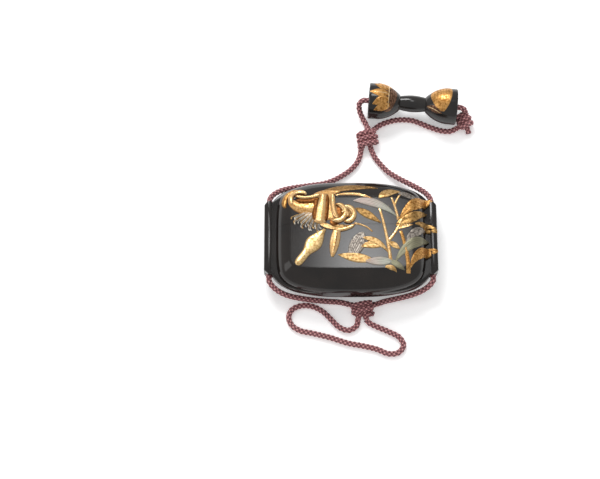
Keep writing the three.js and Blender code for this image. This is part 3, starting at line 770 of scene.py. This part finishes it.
def front_of_case(x, y):
    """Height of the case's front over each point of the plan, as if the ribs' edges were square."""
    bearing = np.arctan2(y, x)
    panel = panel_reach(bearing)
    spread = np.clip((np.hypot(x, y) - panel) / (girth_reach(bearing) - panel), 0, 1)
    height = MID + edge_height(spread)
    on_rib = (abs(x) > RIB_INNER) & (abs(y) < RIB_HALF_LENGTH)
    on_web = (abs(x) > WEB_INNER) & (abs(y) < RIB_HALF_LENGTH)
    height = np.where(on_web, np.maximum(height, MID + WEB_HALF_HEIGHT), height)
    return np.where(on_rib, MID + RIB_HALF_HEIGHT, height)


def drape(x, y):
    """The front's height as laid-on lacquer bridges its grooves: an average over a short way across."""
    steps = range(-BRIDGE_REACH, BRIDGE_REACH + 1)
    return sum(front_of_case(x + step * BRIDGE_STEP, y) for step in steps) / len(steps)


def on_front(x, y, rise):
    """Points that lie at a rise above the case's front, square to it, and wrap round the right rib."""
    d = SLOPE_STEP
    bend = RIB_OUTER - RIB_ROUNDING
    round_rib = np.clip((x - bend) / RIB_ROUNDING, 0, math.pi / 2)
    x = np.minimum(x, bend)
    z = drape(x, y)
    slope_x = np.clip((drape(x + d, y) - drape(x - d, y)) / (2 * d), -STEEPEST, STEEPEST)
    slope_y = np.clip((drape(x, y + d) - drape(x, y - d)) / (2 * d), -STEEPEST, STEEPEST)
    slope_x = np.where(round_rib > 0, 0, slope_x)
    square = 1 / np.sqrt(1 + slope_x ** 2 + slope_y ** 2)
    out = RIB_ROUNDING + rise
    return np.stack([
        x - slope_x * square * rise + np.sin(round_rib) * out,
        y - slope_y * square * rise,
        np.where(round_rib > 0, z - RIB_ROUNDING + np.cos(round_rib) * out, z + square * rise),
    ], axis=1)


def strip(kind, x, y, heading, turn, later, length, width, lift, surface, dome=DOME,
          root=RELIEF_ROOT):
    """A raised strip that grows from a point over a surface, closed underneath."""
    deselect()
    steps = max(8, round(length * MM / STEP_ALONG))
    bpy.ops.mesh.primitive_grid_add(x_subdivisions=steps, y_subdivisions=STEPS_ACROSS)
    piece = bpy.context.object
    grid = np.zeros(3 * len(piece.data.vertices))
    piece.data.vertices.foreach_get("co", grid)
    s = (grid[0::3] + 1) / 2
    t = np.sin(grid[1::3] * math.pi / 2)
    knots = np.linspace(0, 1, steps + 1)
    middle = np.radians(heading + turn * ((knots[:-1] + knots[1:]) / 2) ** later)
    middle_x = x + np.concatenate([[0], np.cumsum(np.cos(middle))]) * length / steps
    middle_y = y + np.concatenate([[0], np.cumsum(np.sin(middle))]) * length / steps
    angle = np.radians(heading + turn * s ** later)
    half = width / 2 * np.maximum(THINNEST, WIDTH_ALONG[kind](s)) * t
    plan_x = np.interp(s, knots, middle_x) - half * np.sin(angle)
    plan_y = np.interp(s, knots, middle_y) + half * np.cos(angle)
    fade = np.minimum(1, np.minimum(s, 1 - s) * END_SLOPE + END_RISE)
    rise = dome[kind](s, t) * fade + np.where(abs(t) > 0.999, EDGE_SINK, lift)
    place = surface(plan_x * MM, plan_y * MM, rise * MM)
    piece.data.vertices.foreach_set("co", place.ravel())
    edit_all()
    bpy.ops.mesh.extrude_region_move(TRANSFORM_OT_translate={"value": (0, 0, -root)})
    leave_edit()
    return piece


WORN_AND_SHADED_EDGE = (0.1, 0.045, 0.02)  # brown where the metal has rubbed off, and painted shade at the edges of each strip


def metal_leaf(name, deep, bright, rough, grain_scale, edge_colour=WORN_AND_SHADED_EDGE, lines=0.0, soft=0.07):
    """Gold or silver powder burnished on raised lacquer, from the deep tone to the bright one.

    Its edges take the edge colour over a soft share of the width, mostly rubbed brown darkened with painted
    shade, and lines sets how deep its veins are cut.
    """
    material, shader, start = finish(name)
    place = start.add("ShaderNodeTexCoord", (), (), output=3)
    unrolled = start.add("ShaderNodeTexCoord", (), (), output=2)
    across_leaf = start.add("ShaderNodeSeparateXYZ", (), {0: unrolled}, output=1)
    grain = start.add("ShaderNodeTexNoise", (), {"Vector": place, "Scale": grain_scale, "Detail": 4})
    cloud = start.add("ShaderNodeTexNoise", (), {"Vector": place, "Scale": 260, "Detail": 2})
    edge = (across_leaf - 0.5).math("ABSOLUTE").between(0.5, 0.5 - soft)
    veins = ((across_leaf * 11).math("PINGPONG", 0.5) * 2).between(0.15, 0.6) * lines + (1 - lines)
    powder = grain.between(0.3, 0.62) * veins
    color = powder.blend(deep, (0.35 + cloud * 0.8).math("MINIMUM", 1).blend(deep, bright))
    # painted shade: the colour turns to the edge colour towards the sides of each strip
    edge.blend(edge_colour, color).into(shader, "Base Color")
    edge.into(shader, "Metallic")
    (rough + (1 - powder) * 0.22).into(shader, "Roughness")
    height = grain * 0.5 + veins
    bump = start.add("ShaderNodeBump", (), {"Strength": 0.5, "Distance": 0.00006, "Height": height})
    bump.into(shader, "Normal")
    return material


def shell(name, tip, root):
    """A slip of iridescent shell, its colour running from the root of the leaf to its tip."""
    material, shader, start = finish(name, Coat_Weight=0.12, Coat_Roughness=0.15)
    place = start.add("ShaderNodeTexCoord", (), (), output=3)
    unrolled = start.add("ShaderNodeTexCoord", (), (), output=2)
    along_leaf = start.add("ShaderNodeSeparateXYZ", (), {0: unrolled}, output=0)
    across_leaf = start.add("ShaderNodeSeparateXYZ", (), {0: unrolled}, output=1)
    cloud = start.add("ShaderNodeTexNoise", (), {"Vector": place, "Scale": 420, "Detail": 3})
    shift = (along_leaf + (cloud - 0.5) * 0.6).between(0.15, 0.85)
    veins = ((across_leaf * 9).math("PINGPONG", 0.5) * 2).between(0.1, 0.5)
    edge = (across_leaf - 0.5).math("ABSOLUTE").between(0.5, 0.44)
    pearl = shift.blend(root, tip)
    lined = veins.blend((0.16, 0.14, 0.11), pearl)
    edge.blend((0.06, 0.04, 0.03), lined).into(shader, "Base Color")
    (0.36 + (1 - veins) * 0.25).into(shader, "Roughness")
    (edge * 0.55).into(shader, "Metallic")
    bump = start.add("ShaderNodeBump", (), {"Strength": 0.4, "Distance": 0.00006, "Height": veins + cloud})
    bump.into(shader, "Normal")
    return material


# edge colours: rubbed brown, with painted shade where the raised strips round off
BRIGHT_WORN_AND_SHADED, PETAL_WORN_AND_SHADED, BUD_WORN_AND_SHADED = (0.12, 0.035, 0.008), (0.3, 0.1, 0.015), (0.2, 0.08, 0.02)
RIM_LINE = (0.75, 0.47, 0.19)  # a leaf outlined in lighter gold
# name, deep, bright, roughness, grain scale, edge colour (wear with painted shade), lines, softness of the
# edge
METALS = [
    ("bright_gold", (0.56, 0.27, 0.07), (1.0, 0.74, 0.4), 0.22, 1500, BRIGHT_WORN_AND_SHADED, 0.0, 0.28),
    ("petal_gold", (0.45, 0.19, 0.04), (1.0, 0.66, 0.3), 0.28, 1300, PETAL_WORN_AND_SHADED, 0.0, 0.34),
    # gold darkened nearly to black: painted shade for the folds and the hollows under the petals
    ("shade_darkened_gold", (0.09, 0.028, 0.008), (0.3, 0.12, 0.035), 0.35, 1300, WORN_AND_SHADED_EDGE, 0.0, 0.07),
    ("orange_gold", (0.26, 0.1, 0.02), (0.88, 0.52, 0.18), 0.3, 1300, WORN_AND_SHADED_EDGE, 0.6, 0.14),
    ("brown_gold", (0.16, 0.08, 0.03), (0.55, 0.33, 0.13), 0.32, 1300, WORN_AND_SHADED_EDGE, 0.0, 0.07),
    ("pale_gold", (0.5, 0.3, 0.1), (0.95, 0.72, 0.38), 0.34, 1100, BUD_WORN_AND_SHADED, 0.0, 0.22),
    ("leaf_gold", (0.3, 0.15, 0.04), (0.98, 0.68, 0.32), 0.28, 800, WORN_AND_SHADED_EDGE, 0.35, 0.12),
    ("rimmed_gold", (0.17, 0.085, 0.025), (0.75, 0.46, 0.17), 0.3, 800, RIM_LINE, 0.5, 0.08),
    ("silver_hatched", (0.12, 0.1, 0.09), (0.62, 0.56, 0.48), 0.38, 900, WORN_AND_SHADED_EDGE, 0.85, 0.07),
    ("silver_thread", (0.4, 0.36, 0.3), (0.9, 0.84, 0.74), 0.3, 900, WORN_AND_SHADED_EDGE, 0.0, 0.07),
]
RELIEF_FINISHES = {}
for name, *recipe in METALS:
    slot = "silver_relief" if name.startswith("silver") else "gold_relief"
    RELIEF_FINISHES[name] = metal_leaf(name, *recipe), slot
RELIEF_FINISHES["green_shell"] = shell("green_shell", (0.2, 0.19, 0.11), (0.36, 0.35, 0.22)), "shell_inlay"
RELIEF_FINISHES["pink_shell"] = shell("pink_shell", (0.5, 0.4, 0.36), (0.42, 0.43, 0.36)), "shell_inlay"


def part_at_seam(piece, keep_lid):
    """Keeps the side of the seam that goes with the lid or the body, and closes the cut."""
    deselect()
    piece.select_set(True)
    bpy.context.view_layer.objects.active = piece
    edit_all()
    sign = 1 if keep_lid else -1
    bpy.ops.mesh.bisect(plane_co=(0, SEAM + sign * SEAM_GAP / 2, 0), plane_no=(0, 1, 0),
                        use_fill=True, clear_inner=keep_lid, clear_outer=not keep_lid)
    bpy.ops.object.mode_set(mode="OBJECT")


for group in ("gold_relief", "silver_relief", "shell_inlay"):
    for part in ("body", "lid"):
        halves = []
        for row in LILY_STRIPS:
            material, slot = RELIEF_FINISHES[row[-1]]
            if slot != group:
                continue
            piece = strip(*row[:-1], surface=on_front)
            part_at_seam(piece, part == "lid")
            if not piece.data.vertices:
                bpy.data.objects.remove(piece)
                continue
            piece.data.materials.append(material)
            halves.append(piece)
        relief = join(f"lily_{group}_on_{part}", halves)
        smooth(relief, 50)
        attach(relief, "root")


# ---- the netsuke ----
# A small drum turned in wood and lacquered: two cups and a slim waist, bored lengthwise for the cord.
# The cups carry gold leaves and fruit in low relief; rims and waist are plain black.
DRUM_LENGTH = 0.045
DRUM_LEFT = Vector((0.0102, 0.0769, 0.00917))
DRUM_TILT = math.radians(-4.7)
DRUM_RIM, DRUM_FOOT, DRUM_NECK, DRUM_BULGE, DRUM_CUP = 0.0092, 0.0042, 0.0035, 0.0043, 0.0157
DRUM_BORE = 0.002
CUP_STRAIGHT, CUP_CURVE = 0.0035, 2.2  # a cup stays full as far as this, then closes by this power
# The turned mouth of a cup, as radius and distance along the drum.
DRUM_MOUTH = [
    (DRUM_BORE, 0.0008), (0.0066, 0.0008), (0.0069, 0.0005), (0.0069, 0.0001), (0.007, 0), (0.0086, 0),
    (0.0089, 0.0001), (0.0091, 0.0004),
]
RIM_END = 0.0008
WAIST_FOOT = 0.0004  # length of the step from a cup to the waist
DRUM_TURN = Matrix.Translation(DRUM_LEFT) @ Matrix.Rotation(DRUM_TILT, 4, "Z")


def drum_radius(s):
    """The drum's radius at a distance along it, mirrored about its middle."""
    s = np.minimum(s, DRUM_LENGTH - s)
    closing = np.clip((s - CUP_STRAIGHT) / (DRUM_CUP - CUP_STRAIGHT), 0, 1) ** CUP_CURVE
    cup = DRUM_RIM - (DRUM_RIM - DRUM_FOOT) * closing
    swell = np.clip((s - DRUM_CUP) / (DRUM_LENGTH / 2 - DRUM_CUP), 0, 1)
    waist = DRUM_NECK + (DRUM_BULGE - DRUM_NECK) * np.sin(math.pi / 2 * swell)
    return np.where(s < DRUM_CUP, cup, waist)


def drum():
    """The drum's outline spun round its axis, then laid in its place."""
    cup = np.linspace(RIM_END, DRUM_CUP - TINY, 40)
    waist = np.linspace(DRUM_CUP + WAIST_FOOT, DRUM_LENGTH / 2, 16)
    stations = np.concatenate([cup, waist])
    half = DRUM_MOUTH + [(float(drum_radius(s)), float(s)) for s in stations]
    outline = half + [(r, DRUM_LENGTH - s) for r, s in half[-2::-1]]
    deselect()
    bpy.ops.mesh.primitive_circle_add(vertices=len(outline), fill_type="NOTHING")
    piece = bpy.context.object
    for vertex, (r, s) in zip(piece.data.vertices, outline):
        vertex.co = (s, 0, r)
    edit_all()
    bpy.ops.mesh.spin(steps=96, angle=2 * math.pi, center=(0, 0, 0), axis=(1, 0, 0), dupli=False)
    bpy.ops.mesh.select_all(action="SELECT")
    bpy.ops.mesh.remove_doubles(threshold=MERGE)
    leave_edit()
    piece.data.transform(DRUM_TURN)
    return piece


netsuke = drum()
netsuke.name = "drum_netsuke"
smooth(netsuke, 30)
netsuke.data.materials.append(lacquer("netsuke_lacquer", (0.013, 0.012, 0.0115)))
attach(netsuke, "root")
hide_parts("netsuke")


def on_drum(x, y, rise):
    """Points at a rise above the drum: x runs along it and y round it from its top."""
    radius = drum_radius(x)
    angle = y / DRUM_RIM
    spot = np.stack([x, np.sin(angle) * (radius + rise), np.cos(angle) * (radius + rise), np.ones_like(x)])
    return (np.array(DRUM_TURN) @ spot)[:3].T


# In mm, along the drum and round it from its top.
CUP_STRIPS = [
    ("leaf", 10, 0.8, 180, 0, 1, 9.6, 4.6, 0.05, "cup_gold"),
    ("leaf", 10, 3.8, 158, -6, 1, 8.4, 4.2, 0.04, "cup_gold"),
    ("leaf", 11.5, 7.6, 168, -10, 1, 7.6, 5.6, 0.03, "cup_gold"),
    ("leaf", 10, -2, 202, 6, 1, 8.8, 4.6, 0.04, "cup_gold"),
    ("leaf", 11, -5.6, 198, 8, 1, 8.6, 4.6, 0.03, "cup_gold"),
    ("petal", 10.2, 9, -92, 2, 1, 19.5, 9.4, -0.05, "cup_brown"),
    ("stem", 10, 8.6, -90, 0, 1, 16.5, 0.5, 0.1, "cup_line"),
    ("stem", 10, 0.8, 180, 0, 1, 7.6, 0.4, 0.12, "cup_line"),
    ("petal", 36.8, 11.4, -92, 6, 1, 18.4, 11.4, 0.02, "cup_gold"),
    ("leaf", 29.6, -5.4, -14, -14, 1, 8.2, 4.4, 0.04, "cup_brown"),
    ("stem", 30, -5.6, -14, -14, 1, 7, 0.4, 0.14, "cup_line"),
]
CUP_RELIEF = 0.14
CUP_DOME = {kind: lambda s, t: CUP_RELIEF * (1 - t ** 6) for kind in ("leaf", "stem", "petal")}
CUP_FINISHES = {
    "cup_line": metal_leaf("cup_line", (0.6, 0.4, 0.18), (1.0, 0.8, 0.5), 0.3, 900),
    "cup_gold": metal_leaf("cup_gold", (0.3, 0.13, 0.03), (0.9, 0.5, 0.17), 0.3, 900, lines=0.4, soft=0.16),
    "cup_brown": metal_leaf("cup_brown", (0.07, 0.035, 0.022), (0.34, 0.19, 0.12), 0.4, 800, lines=0.6),
}
CUP_ROOT = 0.0001
patches = []
for row in CUP_STRIPS:
    patch = strip(*row[:-1], surface=on_drum, dome=CUP_DOME, root=CUP_ROOT)
    patch.data.materials.append(CUP_FINISHES[row[-1]])
    patches.append(patch)
cup_relief = join("leaves_on_netsuke", patches)
smooth(cup_relief, 50)
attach(cup_relief, "root")


# ---- floor, light and air ----
# A plain white table top under soft studio light, with a large soft panel beyond the top of the case.
def lamp(name, width, depth, power, place):
    """A soft rectangular lamp aimed at the middle of the case's foot."""
    data = bpy.data.lights.new(name, "AREA")
    data.shape = "RECTANGLE"
    data.size = width
    data.size_y = depth
    data.energy = power
    light = bpy.data.objects.new(name, data)
    light.location = place
    light.rotation_euler = (-Vector(place)).to_track_quat("-Z", "Y").to_euler()
    bpy.context.scene.collection.objects.link(light)


lamp("key_beyond", width=0.5, depth=0.4, power=7.5, place=(-0.25, 0.8, 0.95))
lamp("fill_left", width=0.6, depth=0.6, power=1.5, place=(-0.9, -0.2, 0.6))

# The small soft window that the flat panel mirrors: bright in its middle and fading to nothing.
bpy.ops.mesh.primitive_plane_add(size=1, location=(0.046, 0.29, 0.9), rotation=(math.pi, 0, 0))
window = bpy.context.object
window.name = "soft_window"
window.scale = (0.145, 0.36, 1)
window.visible_camera = False
glow = bpy.data.materials.new("window_glow")
glow.use_nodes = True
start = Shade(glow.node_tree)
place = start.add("ShaderNodeTexCoord", (), (), output=3)
far = start.add("ShaderNodeVectorMath", {"operation": "LENGTH"}, {0: place}, output=1)
light = start.add("ShaderNodeEmission", (), {"Color": 1 - far.between(0.02, 0.5), "Strength": 12})
light.into(glow.node_tree.nodes["Material Output"], "Surface")
window.data.materials.append(glow)

world = bpy.data.worlds.new("studio")
world.use_nodes = True
world.node_tree.nodes["Background"].inputs["Color"].default_value = (1, 1, 1, 1)
world.node_tree.nodes["Background"].inputs["Strength"].default_value = 0.6
bpy.context.scene.world = world
bpy.context.scene.view_settings.view_transform = "Standard"

bpy.ops.mesh.primitive_plane_add(size=3, location=(0, 0, 0))
table = bpy.context.object
table.name = "table_top"
table_white, shader, _ = finish("table_white", Roughness=0.6)
shader.inputs["Base Color"].default_value = (0.93, 0.93, 0.93, 1)
shader.inputs["Emission Color"].default_value = (1, 1, 1, 1)
shader.inputs["Emission Strength"].default_value = 0.3
table.data.materials.append(table_white)
